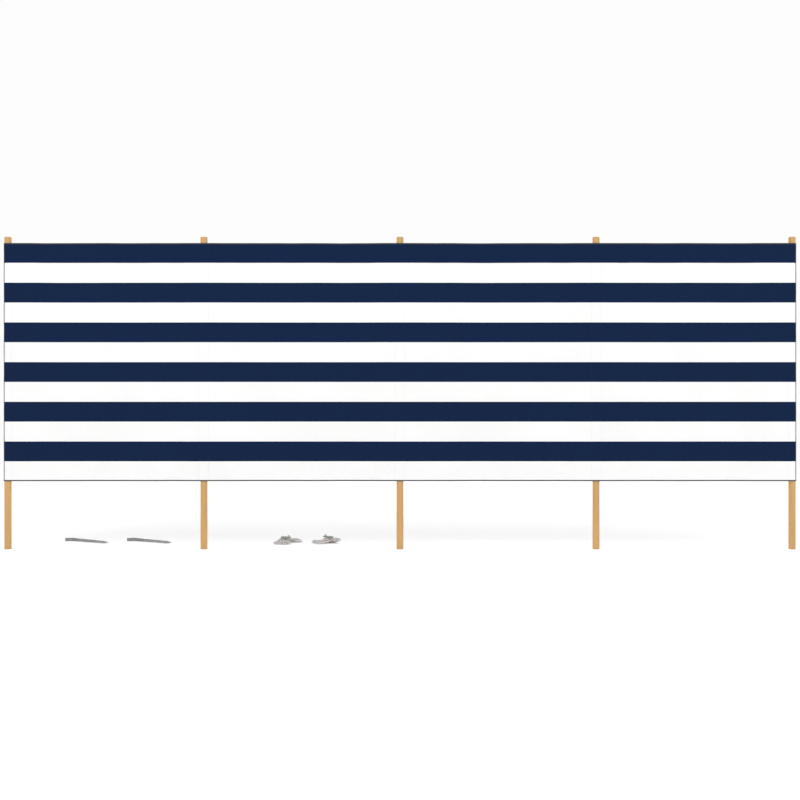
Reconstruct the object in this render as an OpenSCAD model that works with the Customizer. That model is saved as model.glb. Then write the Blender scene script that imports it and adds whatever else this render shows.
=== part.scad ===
// Beach windbreak: a striped cloth carried by five wooden poles, with two steel pegs and
// two guy ropes that lie on the ground behind it. It stands along X and its front faces -Y.
// The origin is the centre of the middle pole's foot, on the ground.

/* [Cloth] */
// Length of the cloth from end to end
cloth_l = 4000; // [3000:10:6000]
// Height of the cloth
cloth_h = 1200; // [900:10:1500]
// Thickness of the cloth
cloth_t = 1; // [0.6:0.1:1.2]
// Width of the bound edge
edge_w = 6; // [4:1:12]
// Width of the seam on each side of a pole
seam_w = 8; // [6:0.5:12]
// Distance from a pocket strip's end to the cloth's edge
pocket_inset = 10; // [8:1:30]

/* [Poles] */
// Diameter of a pole
pole_d = 35; // [28:1:40]
// Length of a pole below the cloth
foot_l = 343; // [200:1:500]
// Length of a pole above the cloth
head_l = 32; // [10:1:80]
// Width of the bevel round a pole's ends
pole_bevel = 2; // [1:0.5:4]
// Gap between a pole and the cloth round it
pocket_gap = 0.3; // [0.2:0.1:1]

/* [Pegs] */
// Length of a peg's shaft
peg_shaft_l = 262; // [200:1:300]
// Length of a peg's hook
peg_hook_l = 32; // [20:1:45]
// Width of a peg's half-round channel
peg_w = 16; // [12:1:20]
// Thickness of a peg's steel
peg_t = 2; // [1.5:0.1:3]
// Angle that a peg's hook is bent through
peg_bend = 52; // [30:1:90]

/* [Ropes] */
// Length of a hank's lobe from the waist
lobe_l = 84; // [70:1:110]
// Width of a hank's lobe at its outer end
lobe_w = 104; // [80:1:130]
// Width of a hank's waist
waist_w = 62; // [50:1:80]
// Height of a hank lying on the ground
hank_h = 26; // [24:1:40]
// Length of a rope runner
runner_l = 60; // [48:1:70]
// Width of a rope runner
runner_w = 26; // [20:1:32]
// Thickness of a rope runner
runner_t = 6; // [4:0.5:8]
// Diameter of a runner's holes
runner_hole_d = 9; // [7:0.5:10]

/* [Hidden] */

// Colours
wood = [0.77, 0.61, 0.40];
navy = [0.11, 0.16, 0.28];
white = [0.98, 0.98, 0.97];
pocket_white = [0.93, 0.93, 0.92];
edge_grey = [0.45, 0.45, 0.46];
steel = [0.58, 0.59, 0.60];
rope_white = [0.86, 0.84, 0.81];
runner_grey = [0.56, 0.57, 0.54];

// Cloth
stripe_count = 12;
stripe_h = cloth_h / stripe_count;
pole_count = 5;
first_pole = 1;
last_pole = pole_count;
pocket_r = pole_d / 2 + pocket_gap;
sleeve_r = pocket_r + cloth_t;
pocket_foot = sleeve_r + seam_w / 2;
seam_r = sleeve_r + seam_w;
hinge_gap = 1;
free_r = seam_r + hinge_gap;
pole_pitch = (cloth_l - 2 * sleeve_r) / (pole_count - 1);
cloth_bottom = foot_l;
cloth_top = foot_l + cloth_h;
pole_l = foot_l + cloth_h + head_l;

// Pegs: the hook's bend, the point, and where each peg lies
peg_bend_r = 6;
peg_bend_steps = 8;
peg_round_steps = 12;
peg_point_l = 30;
peg_point_w = 3;
peg_shoulder_ratio = 0.75;
peg_turn = -30;
peg_places = [[-1750, 320], [-1420, 320]];

// Hanks: each lobe's direction, the rope's end loop, and where each hank lies
lobe_directions = [30, -90];
lobe_round = 18;
end_loop_at = [-30, 46];
end_loop_r = 14;
hank_places = [[-615, 250], [-365, 250]];
hank_turns = [0, 180];
runner_turn = -30;
runner_hole_pitch = 18;
runner_at = [14, -9];

function pole_x(i) = (i - (pole_count + 1) / 2) * pole_pitch;

// ---- Poles ----

module pole(i) {
  color(wood)
    translate([pole_x(i), 0, 0])
      rotate_extrude($fn = 96)
        polygon([
          [0, 0], [pole_d / 2 - pole_bevel, 0], [pole_d / 2, pole_bevel],
          [pole_d / 2, pole_l - pole_bevel], [pole_d / 2 - pole_bevel, pole_l], [0, pole_l]
        ]);
}

// ---- Cloth, drawn in plan and raised. It lies flat against the front of the poles ----

// The cloth of one bay in plan. Bay 2 keeps the seams of both its poles; every other bay
// starts clear of the seam that it folds beside. The first and last bays end by turning
// round the outer side of their pole.
module bay_plan(bay) {
  x_from = bay == 1 ? pole_x(1) : bay == 2 ? pole_x(2) - seam_r : pole_x(bay) + free_r;
  x_to = bay == 1 ? pole_x(2) - free_r : bay == 4 ? pole_x(5) : pole_x(bay + 1) + seam_r;
  translate([x_from, -sleeve_r])
    square([x_to - x_from, cloth_t]);
  if (bay == 1) end_turn(first_pole, -1);
  if (bay == 4) end_turn(last_pole, 1);
}

// The quarter round of cloth on the outer front of an end pole
module end_turn(i, side) {
  translate([pole_x(i), 0])
    intersection() {
      difference() {
        circle(r = sleeve_r, $fn = 96);
        circle(r = pocket_r, $fn = 96);
      }
      translate([side < 0 ? -sleeve_r : 0, -sleeve_r])
        square(sleeve_r);
    }
}

// Everything past the bound edge at the two ends of the windbreak
module beyond_ends() {
  for (side = [-1, 1])
    translate([side * cloth_l / 2, 0])
      square([2 * edge_w, 4 * sleeve_r], center = true);
}

// Stripes of one colour: first is 0 for the colour at the bottom and 1 for the one above it
module stripes(bay, first) {
  for (k = [first : 2 : stripe_count - 1]) {
    low = max(cloth_bottom + k * stripe_h, cloth_bottom + edge_w);
    high = min(cloth_bottom + (k + 1) * stripe_h, cloth_top - edge_w);
    translate([0, 0, low])
      linear_extrude(high - low)
        difference() {
          bay_plan(bay);
          beyond_ends();
        }
  }
}

module navy_stripes(bay) {
  color(navy) stripes(bay, 1);
}

module white_stripes(bay) {
  color(white) stripes(bay, 0);
}

// The bound edge along the top and bottom, and down the end of the first and last bays
module edge_binding(bay) {
  color(edge_grey) {
    for (z = [cloth_bottom, cloth_top - edge_w])
      translate([0, 0, z])
        linear_extrude(edge_w)
          bay_plan(bay);
    translate([0, 0, cloth_bottom])
      linear_extrude(cloth_h)
        intersection() {
          bay_plan(bay);
          beyond_ends();
        }
  }
}

// A round of radius r about a pole, drawn out to feet against the cloth from x_from to x_to
module pocket_outline(r, x_from, x_to) {
  hull() {
    circle(r = r, $fn = 96);
    translate([x_from, -r])
      square([x_to - x_from, cloth_t]);
  }
}

// The strip sewn behind pole i, which closes the pocket that holds it
module pole_pocket(i) {
  left = i == first_pole ? 0 : 1;
  right = i == last_pole ? 0 : 1;
  color(pocket_white)
    translate([pole_x(i), 0, cloth_bottom + pocket_inset])
      linear_extrude(cloth_h - 2 * pocket_inset)
        intersection() {
          difference() {
            union() {
              pocket_outline(sleeve_r, -left * pocket_foot, right * pocket_foot);
              translate([-left * seam_r, -pocket_r])
                square([(left + right) * seam_r, cloth_t]);
            }
            pocket_outline(pocket_r, -left * (pocket_foot - cloth_t), right * (pocket_foot - cloth_t));
            if (left == 0) translate([-sleeve_r, -sleeve_r]) square(sleeve_r);
            if (right == 0) translate([0, -sleeve_r]) square(sleeve_r);
          }
          translate([-seam_r, -pocket_r])
            square([2 * seam_r, pocket_r + sleeve_r]);
        }
}

// ---- Pegs: a half-round channel of steel, hooked at one end and pointed at the other ----

// A station along a peg is [x, y, heading, radius of the half round]
function peg_bend_station(turn) =
  [-peg_bend_r * sin(turn), peg_bend_r * (cos(turn) - 1), turn, peg_w / 2];

function peg_hook_end(start) =
  [start.x - peg_hook_l * cos(peg_bend), start.y - peg_hook_l * sin(peg_bend), peg_bend, peg_w / 2];

function peg_stations() = concat(
  [peg_hook_end(peg_bend_station(peg_bend))],
  [for (k = [peg_bend_steps : -1 : 0]) peg_bend_station(peg_bend * k / peg_bend_steps)],
  [
    [peg_shaft_l - peg_point_l, 0, 0, peg_w / 2 * peg_shoulder_ratio],
    [peg_shaft_l, 0, 0, peg_point_w / 2]
  ]
);

// One point of the half round at a station: tilt goes from edge to edge over the back
function peg_point(station, tilt, radius) = [
  station.x - radius * cos(tilt) * sin(station[2]),
  station.y + radius * cos(tilt) * cos(station[2]),
  radius * sin(tilt)
];

function peg_ring(station) = [
  for (skin = [1, 1 - 2 * peg_t / peg_w], k = [0 : peg_round_steps])
    peg_point(station, 180 * k / peg_round_steps - 90, station[3] * skin)
];

module peg_solid() {
  stations = peg_stations();
  across = peg_round_steps + 1;
  ring = 2 * across;
  last = ring * (len(stations) - 1);
  sides = [
    for (s = [0 : len(stations) - 2], k = [0 : peg_round_steps - 1]) each [
      [s * ring + k, s * ring + k + 1, (s + 1) * ring + k + 1, (s + 1) * ring + k],
      [s * ring + across + k, (s + 1) * ring + across + k,
       (s + 1) * ring + across + k + 1, s * ring + across + k + 1]
    ]
  ];
  edges = [
    for (s = [0 : len(stations) - 2]) each [
      [s * ring, (s + 1) * ring, (s + 1) * ring + across, s * ring + across],
      [s * ring + across - 1, s * ring + ring - 1, (s + 1) * ring + ring - 1, (s + 1) * ring + across - 1]
    ]
  ];
  ends = [
    for (k = [0 : peg_round_steps - 1]) each [
      [k, across + k, across + k + 1, k + 1],
      [last + k, last + k + 1, last + across + k + 1, last + across + k]
    ]
  ];
  polyhedron([for (station = stations) each peg_ring(station)], concat(sides, edges, ends));
}

module peg(i) {
  color(steel)
    translate([peg_places[i - 1].x, peg_places[i - 1].y, peg_w / 2])
      rotate([0, 0, peg_turn])
        peg_solid();
}

// ---- Guy ropes: each is bound at its waist and spreads into two lobes of loops ----

module lobe_outline(direction) {
  spread = (lobe_w - 2 * lobe_round) / 2;
  hull() {
    circle(d = waist_w, $fn = 48);
    rotate(direction)
      for (side = [-1, 1])
        translate([lobe_l, side * spread])
          circle(r = lobe_round, $fn = 32);
  }
}

module hank_outline() {
  for (direction = lobe_directions)
    lobe_outline(direction);
  hull() {
    circle(d = waist_w / 2, $fn = 32);
    translate(end_loop_at)
      circle(r = end_loop_r, $fn = 32);
  }
}

module guy_rope(i) {
  color(rope_white)
    translate(hank_places[i - 1])
      rotate(hank_turns[i - 1])
        linear_extrude(hank_h)
          hank_outline();
}

// The flat slider on each rope, which lies on the hank's waist
module rope_runner(i) {
  straight = runner_l - runner_w;
  color(runner_grey)
    translate([hank_places[i - 1].x, hank_places[i - 1].y, hank_h])
      rotate(hank_turns[i - 1])
        translate(runner_at)
          rotate(runner_turn)
            linear_extrude(runner_t)
              difference() {
                union() {
                  square([straight, runner_w], center = true);
                  for (side = [-1, 1])
                    translate([side * straight / 2, 0])
                      circle(d = runner_w, $fn = 64);
                }
                for (hole = [-1, 0, 1])
                  translate([hole * runner_hole_pitch, 0])
                    circle(d = runner_hole_d, $fn = 48);
              }
}

pole(1);  // pole_1
pole(2);  // pole_2
pole(3);  // pole_3
pole(4);  // pole_4
pole(5);  // pole_5
navy_stripes(1);  // navy_stripes_bay_1
navy_stripes(2);  // navy_stripes_bay_2
navy_stripes(3);  // navy_stripes_bay_3
navy_stripes(4);  // navy_stripes_bay_4
white_stripes(1);  // white_stripes_bay_1
white_stripes(2);  // white_stripes_bay_2
white_stripes(3);  // white_stripes_bay_3
white_stripes(4);  // white_stripes_bay_4
edge_binding(1);  // edge_binding_bay_1
edge_binding(2);  // edge_binding_bay_2
edge_binding(3);  // edge_binding_bay_3
edge_binding(4);  // edge_binding_bay_4
pole_pocket(1);  // pole_pocket_1
pole_pocket(2);  // pole_pocket_2
pole_pocket(3);  // pole_pocket_3
pole_pocket(4);  // pole_pocket_4
pole_pocket(5);  // pole_pocket_5
peg(1);  // peg_1
peg(2);  // peg_2
guy_rope(1);  // guy_rope_1
guy_rope(2);  // guy_rope_2
rope_runner(1);  // rope_runner_1
rope_runner(2);  // rope_runner_2
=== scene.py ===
"""Beach windbreak: a striped cloth screen on wooden poles, with its steel pegs and guy ropes.

The frame gives every place and size that the design fixes. The settings hold the sizes and
colours of what is added here: the cloth's slack, its stitches and tape, steel, rope and knots.
"""

import math

import bpy
import numpy as np
from bpy.props import FloatProperty, FloatVectorProperty, IntProperty, PointerProperty
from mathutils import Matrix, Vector


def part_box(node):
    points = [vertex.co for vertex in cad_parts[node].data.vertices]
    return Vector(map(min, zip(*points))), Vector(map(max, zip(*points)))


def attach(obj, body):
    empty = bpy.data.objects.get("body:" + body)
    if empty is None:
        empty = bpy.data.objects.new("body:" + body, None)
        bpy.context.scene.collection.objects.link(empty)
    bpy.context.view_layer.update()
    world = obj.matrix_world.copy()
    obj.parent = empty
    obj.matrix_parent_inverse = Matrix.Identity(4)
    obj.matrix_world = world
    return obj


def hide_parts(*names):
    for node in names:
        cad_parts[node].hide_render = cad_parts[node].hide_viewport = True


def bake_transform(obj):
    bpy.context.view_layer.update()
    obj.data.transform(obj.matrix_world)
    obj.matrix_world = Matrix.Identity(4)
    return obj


bl_info = {
    "name": "Beach Windbreak",
    "version": (1, 0, 0),
    "blender": (4, 5, 0),
    "location": "3D View > Sidebar > Windbreak",
    "description": "Dresses a beach windbreak with cloth, stitching, wood, steel and rope",
    "category": "Add Mesh",
}

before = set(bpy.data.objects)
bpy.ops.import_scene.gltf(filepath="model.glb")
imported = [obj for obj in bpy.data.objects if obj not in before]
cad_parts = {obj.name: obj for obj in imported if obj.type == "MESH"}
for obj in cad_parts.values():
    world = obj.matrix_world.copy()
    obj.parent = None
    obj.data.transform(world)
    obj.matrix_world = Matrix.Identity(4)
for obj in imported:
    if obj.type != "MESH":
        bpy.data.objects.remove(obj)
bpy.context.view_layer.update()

POLES = range(1, 6)
BAYS = range(1, 5)
STRIPES = 12
POLE_BODY = {1: "bay_1", 2: "bay_2", 3: "bay_2", 4: "bay_3", 5: "bay_4"}
# The two bodies that a bay's cloth joins and the pole that it bends beside
BAY_BENDS = {1: ("bay_1", "bay_2", 2), 3: ("bay_2", "bay_3", 3), 4: ("bay_3", "bay_4", 4)}
# The end bays: the pole that the cloth goes round, and the side that it faces
OPEN_ENDS = {1: (1, -1), 4: (5, 1)}


def node_low(node):
    """The lowest corner of a CAD node."""
    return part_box(node)[0]


def node_high(node):
    """The highest corner of a CAD node."""
    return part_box(node)[1]


POLE_X = {i: (node_low(f"pole_{i}").x + node_high(f"pole_{i}").x) / 2 for i in POLES}
CLOTH_LOW = node_low("edge_binding_bay_2").z
CLOTH_HIGH = node_high("edge_binding_bay_2").z
CLOTH_FRONT = node_low("navy_stripes_bay_2").y
CLOTH_BACK = node_high("navy_stripes_bay_2").y
CLOTH_Y = (CLOTH_FRONT + CLOTH_BACK) / 2
SLEEVE_R = node_high("pole_pocket_2").y
WRAP_R = SLEEVE_R - (CLOTH_BACK - CLOTH_FRONT) / 2
SEAM_R = node_high("pole_pocket_2").x - POLE_X[2]
POCKET_LOW = node_low("pole_pocket_2").z
POCKET_HIGH = node_high("pole_pocket_2").z
TAPE_W = CLOTH_HIGH - node_high("navy_stripes_bay_2").z
STRIPE_H = (CLOTH_HIGH - CLOTH_LOW) / STRIPES

# Distances from a pole's centre, in metres: where two bays' cloth meets, and where it bends
BAY_EDGE = 0.025
BEND_NEAR = 0.0275
BEND_FAR = 0.042

# Widths of the cloth's columns, the step between a pocket's rows, and gaps, in metres
BEND_STEP = 0.0009
CLOTH_STEP = 0.009
POCKET_STEP = 0.01
POCKET_GAP = 0.0006
HEM_H = 0.007
TAPE_GRIP = 0.003
# How far in from a pocket's edge its two rows of stitches lie
SEAM_ROWS = (0.0032, 0.0009)

# The cloth's slack: the share of a bay near each pole that is held flat, the upright folds as
# (waves in a bay, share of their depth), how the corners' creases fade and spread, the number of
# ripples, and how softly the cloth stops at its flat line
HELD_SHARE = 0.1
FOLD_WAVES = ((1.5, 0.9), (2.6, 0.7), (4.3, 0.45), (7.1, 0.22))
CREASE_REACH = 0.34
CREASE_START = 0.12
CREASE_TURNS = 11
RIPPLES = 7
SOFT_STOP = 0.0008

# A peg's bend radius and the length of its point, in metres
PEG_BEND_R = 0.006
PEG_POINT = 0.03


# ---- Meshes ----


def smooth(t):
    """An eased step from 0 at t = 0 to 1 at t = 1."""
    t = np.clip(t, 0, 1)
    return t * t * (3 - 2 * t)


def make_piece(name, points, faces, material, uv=None, sharp=50):
    """A mesh object at the origin, with an optional UV place for each point."""
    mesh = bpy.data.meshes.new(name)
    mesh.from_pydata(np.asarray(points).tolist(), [], faces)
    mesh.materials.append(material)
    if uv is not None:
        corners = np.empty(len(mesh.loops), np.int32)
        mesh.loops.foreach_get("vertex_index", corners)
        layer = mesh.uv_layers.new(name="surface")
        layer.data.foreach_set("uv", np.asarray(uv, np.float32)[corners].ravel())
    mesh.shade_smooth()
    mesh.set_sharp_from_angle(angle=math.radians(sharp))
    mesh.validate()
    obj = bpy.data.objects.new(name, mesh)
    bpy.context.scene.collection.objects.link(obj)
    return obj


def closed_sheet(front, back):
    """The points and faces of a closed sheet whose two sides are grids of rows by columns."""
    rows, columns = front.shape[:2]
    count = rows * columns
    index = np.arange(count).reshape(rows, columns)
    a, b, c, d = index[:-1, :-1], index[:-1, 1:], index[1:, 1:], index[1:, :-1]
    quads = [
        np.stack([a, b, c, d], -1).reshape(-1, 4),
        np.stack([d, c, b, a], -1).reshape(-1, 4) + count,
    ]
    low, high, left, right = index[0], index[-1], index[:, 0], index[:, -1]
    for start, end in (
        (low[1:], low[:-1]),
        (high[:-1], high[1:]),
        (left[:-1], left[1:]),
        (right[1:], right[:-1]),
    ):
        quads.append(np.stack([start, end, end + count, start + count], -1))
    points = np.concatenate([front.reshape(-1, 3), back.reshape(-1, 3)])
    return points, np.concatenate(quads).tolist()


def swept_solid(rings, closed_path=False):
    """The points and faces of a solid whose rings of points follow one another."""
    count, across = rings.shape[:2]
    index = np.arange(count * across).reshape(count, across)
    after = np.roll(index, -1, axis=1)
    last = count if closed_path else count - 1
    following = np.roll(index, -1, axis=0)[:last]
    following_after = np.roll(after, -1, axis=0)[:last]
    quads = np.stack([index[:last], after[:last], following_after, following], -1)
    faces = quads.reshape(-1, 4).tolist()
    if not closed_path:
        faces.append(index[0][::-1].tolist())
        faces.append(index[-1].tolist())
    return rings.reshape(-1, 3), faces


def steps_of(points):
    """The distance from each point of a path to the next."""
    return np.linalg.norm(np.diff(points, axis=0), axis=1)


def distances(points):
    """How far along a path each of its points lies."""
    return np.concatenate([[0], np.cumsum(steps_of(points))])


def directions(points):
    """A path's unit direction at each of its points."""
    along = np.gradient(points, axis=0)
    return along / np.linalg.norm(along, axis=1)[:, None]


def even_path(points, step):
    """The same path with its points an even step apart."""
    along = distances(points)
    marks = np.linspace(0, along[-1], max(2, round(along[-1] / step) + 1))
    return np.stack([np.interp(marks, along, points[:, k]) for k in range(3)], -1)


def smooth_path(points, per_span=12):
    """A Catmull-Rom curve through the points, spaced by the square root of their distances."""
    points = np.asarray(points, float)
    points = np.vstack([2 * points[0] - points[1], points, 2 * points[-1] - points[-2]])
    knots = np.concatenate([[0], np.cumsum(steps_of(points) ** 0.5)])
    curve = []
    for i in range(1, len(points) - 2):
        k0, k1, k2, k3 = knots[i - 1 : i + 3]
        t = np.linspace(k1, k2, per_span, endpoint=False)[:, None]
        p0, p1, p2, p3 = points[i - 1 : i + 3]
        a1 = (k1 - t) / (k1 - k0) * p0 + (t - k0) / (k1 - k0) * p1
        a2 = (k2 - t) / (k2 - k1) * p1 + (t - k1) / (k2 - k1) * p2
        a3 = (k3 - t) / (k3 - k2) * p2 + (t - k2) / (k3 - k2) * p3
        b1 = (k2 - t) / (k2 - k0) * a1 + (t - k0) / (k2 - k0) * a2
        b2 = (k3 - t) / (k3 - k1) * a2 + (t - k1) / (k3 - k1) * a3
        curve.append((k2 - t) / (k2 - k1) * b1 + (t - k1) / (k2 - k1) * b2)
    curve.append(points[-2][None])
    return np.concatenate(curve)


def tube_rings(path, radius, sides):
    """Rings round a path that don't twist about it. radius is one value or one for each point."""
    tangents = directions(path)
    side = np.cross(tangents[0], (0.0, 0.0, 1.0))
    if np.linalg.norm(side) < 0.1:
        side = np.cross(tangents[0], (1.0, 0.0, 0.0))
    sides_at = [side / np.linalg.norm(side)]
    for tangent in tangents[1:]:
        side = sides_at[-1] - tangent * (sides_at[-1] @ tangent)
        sides_at.append(side / np.linalg.norm(side))
    sides_at = np.array(sides_at)
    ups = np.cross(tangents, sides_at)
    turn = np.arange(sides) * math.tau / sides
    spread = np.broadcast_to(np.asarray(radius, float), len(path))[:, None, None]
    around = (
        np.cos(turn)[None, :, None] * sides_at[:, None] + np.sin(turn)[None, :, None] * ups[:, None]
    )
    return path[:, None] + spread * around


def tube_piece(name, path, radius, sides, material):
    """A closed tube along a path, whose UV runs round it and along it in metres."""
    points, faces = swept_solid(tube_rings(path, radius, sides))
    half = np.abs(np.arange(sides) * 2 / sides - 1)
    along = distances(path)[:, None]
    uv = np.stack(np.broadcast_arrays(half, along), -1).reshape(-1, 2)
    return make_piece(name, points, faces, material, uv)


# ---- Materials ----


class Finish:
    """A procedural material and the few node shapes that the finishes below are built from."""

    def __init__(self, name, roughness, **sockets):
        self.material = bpy.data.materials.new(name)
        self.material.use_nodes = True
        self.tree = self.material.node_tree
        self.shader = self.tree.nodes["Principled BSDF"]
        self.shader.inputs["Roughness"].default_value = roughness
        for socket, value in sockets.items():
            self.shader.inputs[socket.replace("_", " ")].default_value = value

    def node(self, kind, **settings):
        made = self.tree.nodes.new(kind)
        for key, value in settings.items():
            setattr(made, key, value)
        return made

    def feed(self, socket, value):
        """Links a socket, or sets its number or colour."""
        if isinstance(value, bpy.types.NodeSocket):
            self.tree.links.new(value, socket)
        elif socket.type == "RGBA":
            socket.default_value = (*value[:3], 1)
        else:
            socket.default_value = value

    def calc(self, operation, *values):
        made = self.node("ShaderNodeMath", operation=operation)
        for k, value in enumerate(values):
            self.feed(made.inputs[k], value)
        return made.outputs[0]

    def place(self, scale=(1, 1, 1), shift=(0, 0, 0)):
        """Object coordinates, moved and scaled."""
        return self.mapped(self.node("ShaderNodeTexCoord").outputs["Object"], scale, shift)

    def surface(self, scale=(1, 1, 1)):
        """The piece's own UV, scaled."""
        origin = self.node("ShaderNodeUVMap", uv_map="surface").outputs["UV"]
        return self.mapped(origin, scale, (0, 0, 0))

    def mapped(self, origin, scale, shift):
        mapping = self.node("ShaderNodeMapping")
        self.feed(mapping.inputs["Vector"], origin)
        mapping.inputs["Location"].default_value = shift
        mapping.inputs["Scale"].default_value = scale
        return mapping.outputs[0]

    def axes(self, vector):
        split = self.node("ShaderNodeSeparateXYZ")
        self.feed(split.inputs[0], vector)
        return split.outputs

    def noise(self, vector, scale, detail=3.0, rough=0.55):
        made = self.node("ShaderNodeTexNoise")
        values = (("Vector", vector), ("Scale", scale), ("Detail", detail), ("Roughness", rough))
        for name, value in values:
            self.feed(made.inputs[name], value)
        return made.outputs["Fac"]

    def span(self, value, low, high, to_low=0.0, to_high=1.0):
        """Eases a value's range from low to high into the range from to_low to to_high."""
        made = self.node("ShaderNodeMapRange", interpolation_type="SMOOTHSTEP")
        for socket, given in zip(made.inputs, (value, low, high, to_low, to_high)):
            self.feed(socket, given)
        return made.outputs[0]

    def mix(self, factor, first, second, **settings):
        made = self.node("ShaderNodeMix", data_type="RGBA", **settings)
        for k, value in ((0, factor), (6, first), (7, second)):
            self.feed(made.inputs[k], value)
        return made.outputs[2]

    def paint(self, colour, *spans):
        """Gives the surface a colour, lighter or darker by the sum of one or two spans."""
        tone = self.span(*spans[0])
        for values in spans[1:]:
            tone = self.calc("ADD", tone, self.span(*values))
        shaded = self.mix(1, colour, tone, blend_type="MULTIPLY")
        self.feed(self.shader.inputs["Base Color"], shaded)

    def bump(self, height, distance, strength=1.0):
        """Adds a bump to any that is already there. distance is in metres."""
        made = self.node("ShaderNodeBump")
        for name, value in (("Strength", strength), ("Distance", distance), ("Height", height)):
            self.feed(made.inputs[name], value)
        normal = self.shader.inputs["Normal"]
        if normal.is_linked:
            self.feed(made.inputs["Normal"], normal.links[0].from_socket)
        self.feed(normal, made.outputs[0])


def stripe_factor(finish, height):
    """0 in a white stripe and 1 in a navy one."""
    row = finish.calc("DIVIDE", finish.calc("SUBTRACT", height, CLOTH_LOW), STRIPE_H)
    return finish.calc("MODULO", finish.calc("FLOOR", row), 2.0)


def canvas_finish(cloth):
    """Plain-woven canvas in stripes, whose UV is the cloth's own length and height in metres."""
    finish = Finish("striped_canvas", 0.92, Specular_IOR_Level=0.08, Sheen_Weight=0.02)
    across, up, _ = finish.axes(finish.surface())
    navy = stripe_factor(finish, up)
    warp = finish.noise(finish.surface((1, 30, 1)), 46, 2)
    weft = finish.noise(finish.surface((30, 1, 1)), 46, 2)
    slub = finish.calc("ADD", finish.span(warp, 0.3, 0.7), finish.span(weft, 0.3, 0.7))
    broad = finish.noise(finish.surface(), 2.6, 2)
    base = finish.mix(navy, cloth.white, cloth.navy)
    finish.paint(base, (slub, 0, 2, 0.93, 1.0), (broad, 0.3, 0.7, -0.03, 0.0))
    wave = math.tau / cloth.weave
    over = finish.calc("SINE", finish.calc("MULTIPLY", across, wave))
    under = finish.calc("SINE", finish.calc("MULTIPLY", up, wave))
    finish.bump(finish.calc("MULTIPLY", over, under), 0.00009, 0.6)
    finish.bump(slub, 0.00012, 0.5)
    return finish.material


def tape_finish(binding):
    """Ribbed cotton tape."""
    finish = Finish("edge_tape", 0.88, Specular_IOR_Level=0.15)
    weave = finish.noise(finish.place((1, 1, 6)), 900, 2)
    broad = finish.noise(finish.place(), 30, 3)
    finish.paint(binding.colour, (weave, 0.3, 0.7, 0.86, 1.0), (broad, 0.3, 0.7, -0.08, 0.0))
    finish.bump(weave, 0.0001, 0.6)
    return finish.material


def thread_finish(name, navy_thread, white_thread):
    """Polyester sewing thread, which is changed to match each stripe that it crosses."""
    finish = Finish(name, 0.6, Specular_IOR_Level=0.25)
    fibre = finish.noise(finish.place(), 1500, 2)
    height = finish.axes(finish.place())[2]
    thread = finish.mix(stripe_factor(finish, height), white_thread, navy_thread)
    finish.paint(thread, (fibre, 0.3, 0.7, 0.85, 1))
    return finish.material


def wood_finish(i, wood):
    """Softwood turned to a round pole: growth rings about an off-centre heart, run along it."""
    finish = Finish(f"wood_pole_{i}", 0.5, Specular_IOR_Level=0.35)
    rng = np.random.default_rng(40 + i)
    heart = rng.uniform(0.012, 0.05, 2) * rng.choice((-1, 1), 2)
    shift = (-POLE_X[i] + heart[0], heart[1], 3.1 * i)
    wander = finish.noise(finish.place((1, 1, 0.3), shift), 8, 4, 0.5)
    blotch = finish.noise(finish.place((1, 1, 0.35), shift), 14, 3)
    fibre = finish.noise(finish.place((1, 1, 0.02), shift), 700, 2)
    x, y, _ = finish.axes(finish.place((1, 1, 1), shift))
    square = finish.calc("ADD", finish.calc("MULTIPLY", x, x), finish.calc("MULTIPLY", y, y))
    radius = finish.calc("SQRT", square)
    bent = finish.calc("ADD", radius, finish.calc("MULTIPLY", wander, 0.026))
    rings = finish.calc("FRACT", finish.calc("MULTIPLY", bent, wood.rings_per_metre))
    late = finish.span(rings, 0.5, 0.93)
    for fade in ((rings, 0.94, 1.0, 1.0, 0.0), (blotch, 0.35, 0.65, 0.25, 0.9)):
        late = finish.calc("MULTIPLY", late, finish.span(*fade))
    grain = finish.mix(late, wood.light, wood.dark)
    finish.paint(grain, (fibre, 0.3, 0.7, 0.88, 1.04), (blotch, 0.3, 0.7, -0.07, 0.05))
    finish.feed(finish.shader.inputs["Roughness"], finish.span(fibre, 0.3, 0.7, 0.46, 0.62))
    finish.bump(fibre, 0.00012, 0.5)
    return finish.material


def steel_finish(pegs):
    """Galvanised steel: a grey zinc skin with faint spangle and a few duller marks."""
    finish = Finish("galvanised_steel", 0.38, Metallic=1.0)
    cells = finish.node("ShaderNodeTexVoronoi")
    finish.feed(cells.inputs["Vector"], finish.place())
    finish.feed(cells.inputs["Scale"], 260)
    spangle = cells.outputs["Distance"]
    marks = finish.noise(finish.place(), 60, 4, 0.6)
    finish.paint(pegs.colour, (spangle, 0.0, 1.0, 0.84, 1.0), (marks, 0.35, 0.7, -0.22, 0.0))
    finish.feed(finish.shader.inputs["Roughness"], finish.span(marks, 0.3, 0.7, 0.5, 0.3))
    finish.bump(marks, 0.00012, 0.5)
    return finish.material


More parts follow.
